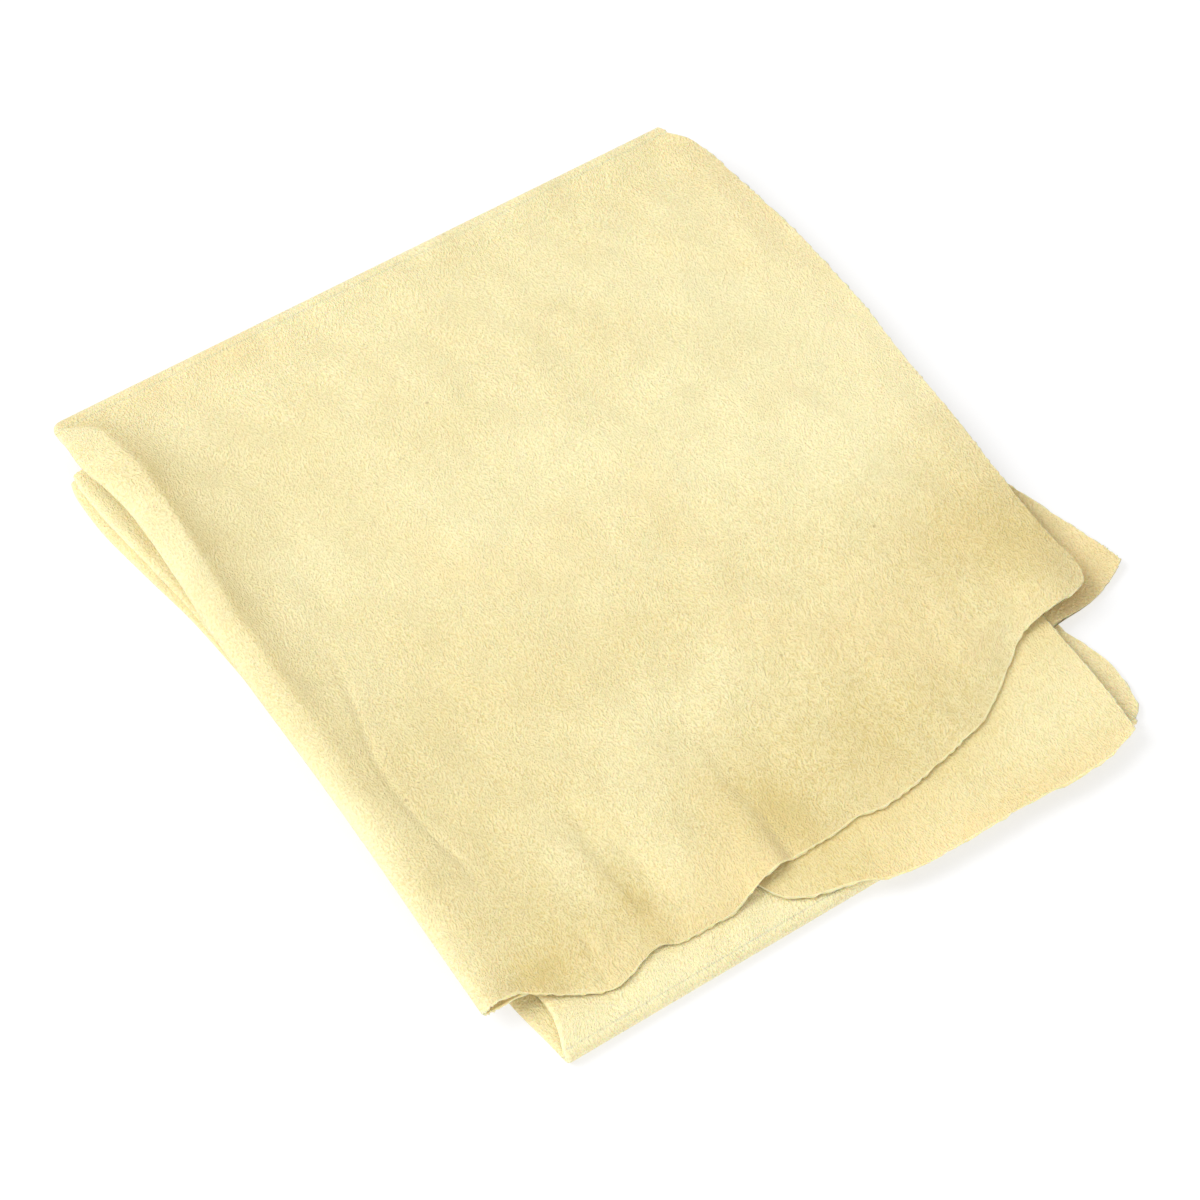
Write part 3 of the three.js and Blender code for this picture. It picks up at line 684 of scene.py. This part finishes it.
def buildNapGroup():
    group, inside, outside = newGroup(
        "suedeNap",
        [("Vector", "NodeSocketVector", None), ("Grain Scale", "NodeSocketFloat", 800.0),
         ("Strand Scale", "NodeSocketFloat", 1500.0), ("Swirl", "NodeSocketFloat", 0.004),
         ("Pebbled", "NodeSocketFloat", 0.0)],
        [("Height", "NodeSocketFloat"), ("Tone", "NodeSocketFloat")])
    link = group.links.new
    swirl = addNode(group, "ShaderNodeTexNoise", flatNoise, napTexture["swirl"])
    link(inside.outputs["Vector"], swirl.inputs["Vector"])
    centred = addNode(group, "ShaderNodeVectorMath", {"operation": "SUBTRACT"})
    link(swirl.outputs["Color"], centred.inputs[0])
    centred.inputs[1].default_value = (noiseMean,) * 3
    scaled = addNode(group, "ShaderNodeVectorMath", {"operation": "SCALE"})
    link(centred.outputs[0], scaled.inputs[0])
    link(inside.outputs["Swirl"], scaled.inputs["Scale"])
    warped = addNode(group, "ShaderNodeVectorMath", {"operation": "ADD"})
    link(inside.outputs["Vector"], warped.inputs[0])
    link(scaled.outputs[0], warped.inputs[1])
    combed = addNode(group, "ShaderNodeMapping", values=napTexture["comb"])
    link(warped.outputs[0], combed.inputs["Vector"])
    grain = addNode(group, "ShaderNodeTexNoise", flatNoise, napTexture["grain"])
    link(warped.outputs[0], grain.inputs["Vector"])
    link(inside.outputs["Grain Scale"], grain.inputs["Scale"])
    pits = addNode(group, "ShaderNodeTexVoronoi", flatCells)
    link(warped.outputs[0], pits.inputs["Vector"])
    link(inside.outputs["Grain Scale"], pits.inputs["Scale"])
    strands = addNode(group, "ShaderNodeTexNoise", flatNoise, napTexture["strands"])
    link(combed.outputs[0], strands.inputs["Vector"])
    link(inside.outputs["Strand Scale"], strands.inputs["Scale"])
    grainHeight = mathNode(group, "MULTIPLY", grain.outputs["Fac"], napTexture["grainShare"])
    strandHeight = mathNode(group, "MULTIPLY", strands.outputs["Fac"], napTexture["strandShare"])
    height = mathNode(group, "ADD", grainHeight, strandHeight)
    pebble = addNode(group, "ShaderNodeTexNoise", flatNoise, napTexture["pebble"])
    link(warped.outputs[0], pebble.inputs["Vector"])
    lumps = mathNode(group, "SUBTRACT", pebble.outputs["Fac"], noiseMean)
    lumps = mathNode(group, "MULTIPLY", lumps, inside.outputs["Pebbled"])
    pitDepth = mathNode(group, "MULTIPLY", pits.outputs["Distance"], napTexture["pitShare"])
    fine = mathNode(group, "SUBTRACT", height, pitDepth)
    pitted = mathNode(group, "ADD", fine, mathNode(group, "MULTIPLY", lumps, napTexture["pebbleShare"]))
    link(pitted, outside.inputs["Height"])
    spread = addNode(group, "ShaderNodeMapRange", values=napTexture["toneRange"])
    link(pitted, spread.inputs["Value"])
    link(spread.outputs["Result"], outside.inputs["Tone"])
    return group


hideTexture = {
    "cloud": {"Scale": 20.0, "Detail": 4.0, "Roughness": 0.6},
    "cloudRange": {"From Min": 0.3, "From Max": 0.7, "To Min": 0.5, "To Max": 0.78},
    "patch": {"Scale": 16.0, "Detail": 2.0},
    "patchRange": {"From Min": 0.54, "From Max": 0.74, "To Max": 0.45},
    "speck": {"Scale": 11.0},
    "speckRange": {"From Min": 0.003, "From Max": 0.008, "To Min": 0.4, "To Max": 0.0},
    "speckColour": (0.3, 0.2, 0.07, 1),
    # how far the tone attribute, painted light and painted shade among it, moves the mix
    "stretchShare": 0.6,
}


def buildToneAndShadeGroup():
    group, inside, outside = newGroup(
        "toneAndPaintedShade",
        [("Vector", "NodeSocketVector", None), ("Nap", "NodeSocketFloat", 0.5),
         ("Stretch", "NodeSocketFloat", 0.0), ("Pale", "NodeSocketColor", (0.9, 0.78, 0.44, 1)),
         ("Deep", "NodeSocketColor", (0.78, 0.64, 0.31, 1)),
         ("Warm", "NodeSocketColor", (0.88, 0.7, 0.37, 1)),
         ("Nap Share", "NodeSocketFloat", 0.35)],
        [("Color", "NodeSocketColor")])
    link = group.links.new
    cloud = addNode(group, "ShaderNodeTexNoise", flatNoise, hideTexture["cloud"])
    link(inside.outputs["Vector"], cloud.inputs["Vector"])
    patch = addNode(group, "ShaderNodeTexNoise", flatNoise, hideTexture["patch"])
    link(inside.outputs["Vector"], patch.inputs["Vector"])
    speck = addNode(group, "ShaderNodeTexVoronoi", flatCells, hideTexture["speck"])
    link(inside.outputs["Vector"], speck.inputs["Vector"])
    cloudShift = addNode(group, "ShaderNodeMapRange", values=hideTexture["cloudRange"])
    link(cloud.outputs["Fac"], cloudShift.inputs["Value"])
    napShift = mathNode(group, "SUBTRACT", inside.outputs["Nap"], noiseMean)
    napShift = mathNode(group, "MULTIPLY", napShift, inside.outputs["Nap Share"])
    # painted light and painted shade, with the hide's own stretches, come in through Stretch and move the mix
    # between Deep and Pale
    stretch = mathNode(group, "MULTIPLY", inside.outputs["Stretch"], hideTexture["stretchShare"])
    share = mathNode(group, "ADD", mathNode(group, "ADD", cloudShift.outputs["Result"], napShift), stretch)
    blend = addNode(group, "ShaderNodeMix", {"data_type": "RGBA", "clamp_factor": True})
    link(share, blend.inputs["Factor"])
    link(inside.outputs["Deep"], blend.inputs["A"])
    link(inside.outputs["Pale"], blend.inputs["B"])
    warmMask = addNode(group, "ShaderNodeMapRange", values=hideTexture["patchRange"])
    link(patch.outputs["Fac"], warmMask.inputs["Value"])
    warmed = addNode(group, "ShaderNodeMix", {"data_type": "RGBA"})
    link(warmMask.outputs["Result"], warmed.inputs["Factor"])
    link(blend.outputs["Result"], warmed.inputs["A"])
    link(inside.outputs["Warm"], warmed.inputs["B"])
    speckMask = addNode(group, "ShaderNodeMapRange", values=hideTexture["speckRange"])
    link(speck.outputs["Distance"], speckMask.inputs["Value"])
    specked = addNode(group, "ShaderNodeMix", {"data_type": "RGBA"}, {"B": hideTexture["speckColour"]})
    link(speckMask.outputs["Result"], specked.inputs["Factor"])
    link(warmed.outputs["Result"], specked.inputs["A"])
    link(specked.outputs["Result"], outside.inputs["Color"])
    return group


napGroup = buildNapGroup()
toneAndShadeGroup = buildToneAndShadeGroup()
lightReach = (1.0, 0.6, 0.28)  # of red, green and blue into the leather


def suedeFace(name, look):
    material = bpy.data.materials.new(name)
    material.use_nodes = True
    tree = material.node_tree
    link = tree.links.new
    shader = tree.nodes["Principled BSDF"]
    place = addNode(tree, "ShaderNodeUVMap", {"uv_map": "skin"})
    nap = addNode(tree, "ShaderNodeGroup", {"node_tree": napGroup})
    tone = addNode(tree, "ShaderNodeGroup", {"node_tree": toneAndShadeGroup})
    for key, value in look["nap"].items():
        nap.inputs[key].default_value = value
    for key, value in look["tone"].items():
        tone.inputs[key].default_value = value
    link(place.outputs["UV"], nap.inputs["Vector"])
    link(place.outputs["UV"], tone.inputs["Vector"])
    link(nap.outputs["Tone"], tone.inputs["Nap"])
    # the tone attribute holds the hide's own stretches together with painted light and painted shade
    stretch = addNode(tree, "ShaderNodeAttribute", {"attribute_name": "tone"})
    link(stretch.outputs["Fac"], tone.inputs["Stretch"])
    pebbled = addNode(tree, "ShaderNodeAttribute", {"attribute_name": "pebbled"})
    link(pebbled.outputs["Fac"], nap.inputs["Pebbled"])
    link(tone.outputs["Color"], shader.inputs["Base Color"])
    bump = addNode(tree, "ShaderNodeBump", values={"Strength": 1.0, "Distance": look["napHeight"]})
    link(nap.outputs["Height"], bump.inputs["Height"])
    link(bump.outputs["Normal"], shader.inputs["Normal"])
    for key, value in look["shader"].items():
        shader.inputs[key].default_value = value
    shader.inputs["Subsurface Radius"].default_value = lightReach
    return material


# Pale and Deep are the hide's paler and deeper colours; painted light mixes towards Pale and painted shade
# towards Deep
nappedSide = {
    "nap": {"Grain Scale": 1150.0, "Strand Scale": 2000.0, "Swirl": 0.0045},
    "tone": {"Pale": (0.93, 0.835, 0.515, 1), "Deep": (0.7, 0.57, 0.25, 1), "Warm": (0.87, 0.7, 0.37, 1),
             "Nap Share": 0.42},
    "napHeight": 0.00075,
    "shader": {"Roughness": 0.92, "Specular IOR Level": 0.2, "Sheen Weight": 0.1, "Sheen Roughness": 0.6,
               "Subsurface Weight": 0.35, "Subsurface Scale": 0.0016},
}
fleshSide = {
    "nap": {"Grain Scale": 900.0, "Strand Scale": 2000.0, "Swirl": 0.003},
    "tone": {"Pale": (0.91, 0.81, 0.49, 1), "Deep": (0.72, 0.585, 0.26, 1), "Warm": (0.87, 0.71, 0.37, 1),
             "Nap Share": 0.35},
    "napHeight": 0.0006,
    "shader": {"Roughness": 0.94, "Specular IOR Level": 0.2, "Sheen Weight": 0.1, "Sheen Roughness": 0.6,
               "Subsurface Weight": 0.35, "Subsurface Scale": 0.0016},
}
# paler than the napped side: partly the cut fibres' own colour, partly painted highlight along the rims
cutEdge = {
    "nap": {"Grain Scale": 900.0, "Strand Scale": 2600.0, "Swirl": 0.002},
    "tone": {"Pale": (0.93, 0.845, 0.55, 1), "Deep": (0.84, 0.72, 0.41, 1), "Warm": (0.9, 0.78, 0.47, 1),
             "Nap Share": 0.5},
    "napHeight": 0.0003,
    "shader": {"Roughness": 0.95, "Specular IOR Level": 0.15, "Sheen Weight": 0.12, "Sheen Roughness": 0.5,
               "Subsurface Weight": 0.7, "Subsurface Scale": 0.0022},
}
leatherFaces = [
    suedeFace("nappedSide", nappedSide),
    suedeFace("fleshSide", fleshSide),
    suedeFace("cutEdge", cutEdge),
]
print("suede made")


def atBackAxis(x):
    return np.full_like(x, backAxis)


def atFrontAxis(x):
    return np.full_like(x, frontAxis - bundle["buttGap"])


def wavyEnd(points, seed):
    end = acrossWidth(points)
    return lambda x: end(x) + edgeWaves(np.asarray(x, float), seed)


ends = {
    "top": (atBackAxis, wavyEnd(topFront, edgeSeeds["front"])),
    "topUnder": (atBackAxis, wavyEnd(topUnderFront, edgeSeeds["front"])),
    "middle": (atBackAxis, atFrontAxis),
    "middleUnder": (atBackAxis, atFrontAxis),
    "baseUpper": (wavyEnd(baseUpperBack, edgeSeeds["back"]), atFrontAxis),
    "base": (wavyEnd(baseBack, edgeSeeds["back"]), atFrontAxis),
}

# distances along the skin from its lower end to each leaf and crease
turnBack = math.pi * backOuter
turnFront = math.pi * frontOuter
leafRun = frontAxis - backAxis
upperStart = 2 * leafRun + turnBack + turnFront


def flatSkin(grid, noseColumn, runs, mirrored):
    along = chordAlong(grid, noseColumn) * (-1 if mirrored else 1)
    return np.stack([skinMap["middle"] + along * mm, np.broadcast_to(runs, along.shape) * mm], axis=-1)


evenRows = ([0, 1], [0, 1])
upperLeaf = {
    "columns": 160,
    "underColumns": 96,
    "foldColumns": 24,
    "rows": 175,
    "crowding": 1.25,  # of the columns towards the side fold
    "rowKnots": evenRows,
    "seed": 11,
    "flat": (0.452, 0.261),
    "area": 0.106,
}
middleLeaf = {
    "columns": 110,
    "underColumns": 50,
    "foldColumns": 24,
    "rows": 170,
    "crowding": 1.3,
    "rowKnots": ([0, 0.55, 0.85, 1], [0, 0.785, 0.86, 1]),  # closer round the lobe's front
    "seed": 12,
    "flat": (0.441, 0.253),
    "area": 0.1035,
}
lowerLeaf = {
    "columns": 70,
    "underColumns": 50,
    "foldColumns": 56,
    "rows": 120,
    "crowding": 1.3,
    "rowKnots": evenRows,
    "seed": 13,
    "flat": (0.431, 0.244),
    "area": 0.0988,
}
backCrease = {
    "columns": 80,
    "foldColumns": 24,
    "rows": 31,
    "seed": 21,
    "flat": (0.436, 0.018),
    "area": 0.0065,
}
frontCrease = {
    "columns": 80,
    "foldColumns": 24,
    "rows": 21,
    "seed": 22,
    "flat": (0.385, 0.01),
    "area": 0.0021,
}


def makeLeaf(name, leaf, foldKey, upperLayer, lowerLayer, runOf, mirrored, rawSides, levelEnds):
    grid = leafGrid(leaf, folds[foldKey], upperLayer, lowerLayer, ends)
    noseColumn = leaf["columns"] + leaf["foldColumns"] // 2 - 1
    skin = flatSkin(grid, noseColumn, runOf(-grid[..., 1]), mirrored)
    x, d = grid[..., 0], -grid[..., 1]
    upperSide = np.arange(grid.shape[1]) < noseColumn
    marks = {}
    for mark, markAt in (("tone", toneAndShadeAt), ("pebbled", pebbledAt)):
        marks[mark] = np.where(upperSide, markAt(upperLayer, x, d), markAt(lowerLayer, x, d))
    return leatherSheet(name, grid, skin, marks, rawSides, levelEnds, leaf["seed"])


def makeCrease(name, crease, foldKeys, axis, height, outward, radii, edges, shown, runStart, mirrored):
    grid = creaseGrid(crease, [folds[key] for key in foldKeys], axis, height, outward, radii, edges)
    runs = runStart - np.linspace(0, math.pi * radii[1], crease["rows"])[:, None]
    noseColumn = crease["columns"] - 1 + crease["foldColumns"] // 2
    levelEnds = [(0, 1), (-1, -1)]
    if outward < 0:
        grid = grid[::-1]
        runs = runs[::-1]
        levelEnds = [(0, -1), (-1, 1)]
    skin = flatSkin(grid, noseColumn, runs, mirrored)
    x, d = grid[..., 0], -grid[..., 1]
    marks = {"tone": toneAndShadeAt(shown, x, d), "pebbled": pebbledAt(shown, x, d)}
    return leatherSheet(name, grid, skin, marks, ("start", "end"), levelEnds, crease["seed"])


def upperRun(d):
    return upperStart + d - backAxis


def middleRun(d):
    return upperStart - turnBack - (d - backAxis)


def lowerRun(d):
    return leafRun - (frontAxis - d)


upperPiece = makeLeaf("upperLeaf", upperLeaf, "upper", "top", "topUnder", upperRun, False,
                      ("start", "end", "front"), [(0, 1)])
middlePiece = makeLeaf("middleLeaf", middleLeaf, "middle", "middle", "middleUnder", middleRun, True,
                       ("start", "end"), [(0, 1), (-1, 1)])
lowerPiece = makeLeaf("lowerLeaf", lowerLeaf, "lower", "baseUpper", "base", lowerRun, False,
                      ("start", "end", "back"), [(-1, 1)])
backPiece = makeCrease("backCrease", backCrease, ("upper", "middle"), backAxis, bundle["backHeight"], -1,
                       bundle["backRadius"], ("top", "topUnder"), "top", upperStart, False)
frontPiece = makeCrease("frontCrease", frontCrease, ("middle", "lower"), frontAxis, frontHeight, 1,
                        bundle["frontRadius"], ("base", "baseUpper"), "middle", leafRun + turnFront, True)
print("leather folded")


def dress(nodes):
    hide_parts(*nodes)


def bendAt(piece):
    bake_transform(piece)


dress(("top_panel", "top_underside", "upper_side_fold"))
dress(("middle_panel", "middle_underside", "middle_side_fold"))
dress(("base_upper", "base_panel", "lower_side_fold"))
dress(("back_fold_outer", "back_fold_inner", "back_corner_fold"))
dress(("front_fold_outer", "front_fold_inner", "front_corner_fold"))
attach(upperPiece, "upper_leaf")
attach(middlePiece, "middle_leaf")
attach(lowerPiece, "lower_leaf")
# a half turn has no side of its own: the two creases ride on no body and keep the place baked into their
# meshes
bendAt(backPiece)
bendAt(frontPiece)
print("pieces ride on their bodies")

studio = {
    "floorSize": 30.0,
    "floorWhite": (0.36, 0.365, 0.38, 1),
    "worldWhite": (1.0, 0.95, 0.85, 1),
    "worldStrength": 0.455,
    "floorGlow": 0.62,
    "floorRoughness": 0.9,
    "floorSpecular": 0.1,
    "lights": [
        {"name": "keySoftbox", "size": 2.0, "power": 84.0, "place": (-1.9, 1.3, 2.2)},
        {"name": "fillSoftbox", "size": 1.8, "power": 22.0, "place": (-0.5, -2.0, 1.0)},
        {"name": "topSoftbox", "size": 1.6, "power": 4.0, "place": (0.3, 0.1, 1.5)},
    ],
}


def makeFloor():
    half = studio["floorSize"] / 2
    mesh = bpy.data.meshes.new("floor")
    corners = [(-half, -half, 0), (half, -half, 0), (half, half, 0), (-half, half, 0)]
    mesh.from_pydata(corners, [], [(0, 1, 2, 3)])
    floor = bpy.data.objects.new("floor", mesh)
    scene.collection.objects.link(floor)
    material = bpy.data.materials.new("floorPaper")
    material.use_nodes = True
    shader = material.node_tree.nodes["Principled BSDF"]
    shader.inputs["Base Color"].default_value = studio["floorWhite"]
    shader.inputs["Emission Color"].default_value = (1, 1, 1, 1)
    shader.inputs["Emission Strength"].default_value = studio["floorGlow"]
    shader.inputs["Roughness"].default_value = studio["floorRoughness"]
    shader.inputs["Specular IOR Level"].default_value = studio["floorSpecular"]
    mesh.materials.append(material)


def makeLights():
    world = bpy.data.worlds.new("studioWorld")
    world.use_nodes = True
    background = world.node_tree.nodes["Background"]
    background.inputs["Color"].default_value = studio["worldWhite"]
    background.inputs["Strength"].default_value = studio["worldStrength"]
    scene.world = world
    for light in studio["lights"]:
        data = bpy.data.lights.new(light["name"], "AREA")
        data.shape = "SQUARE"
        data.size = light["size"]
        data.energy = light["power"]
        lamp = bpy.data.objects.new(light["name"], data)
        lamp.location = light["place"]
        lamp.rotation_euler = (-Vector(light["place"])).to_track_quat("-Z", "Y").to_euler()
        scene.collection.objects.link(lamp)


view = {
    "azimuth": -33.56,
    "elevation": 54.6,
    "distance": 1.0215,
    "lens": 105.0,
    "sensor": 36.0,
    "aim": (102.5, 141.0, 5.0),  # x, d and z in the bundle
}


def makeCamera():
    azimuth = math.radians(view["azimuth"])
    elevation = math.radians(view["elevation"])
    back = Vector((math.sin(azimuth) * math.cos(elevation), -math.cos(azimuth) * math.cos(elevation),
                   math.sin(elevation)))
    aimX, aimD, aimZ = view["aim"]
    aim = Vector((bundleLeft + aimX, bundleBack - aimD, aimZ)) * mm
    data = bpy.data.cameras.new("photoCamera")
    data.lens = view["lens"]
    data.sensor_width = view["sensor"]
    camera = bpy.data.objects.new("photoCamera", data)
    camera.location = aim + back * view["distance"]
    camera.rotation_euler = (-back).to_track_quat("-Z", "Y").to_euler()
    scene.collection.objects.link(camera)
    scene.camera = camera


makeFloor()
makeLights()
makeCamera()
scene.view_settings.view_transform = "Standard"
print("floor, light and camera set")
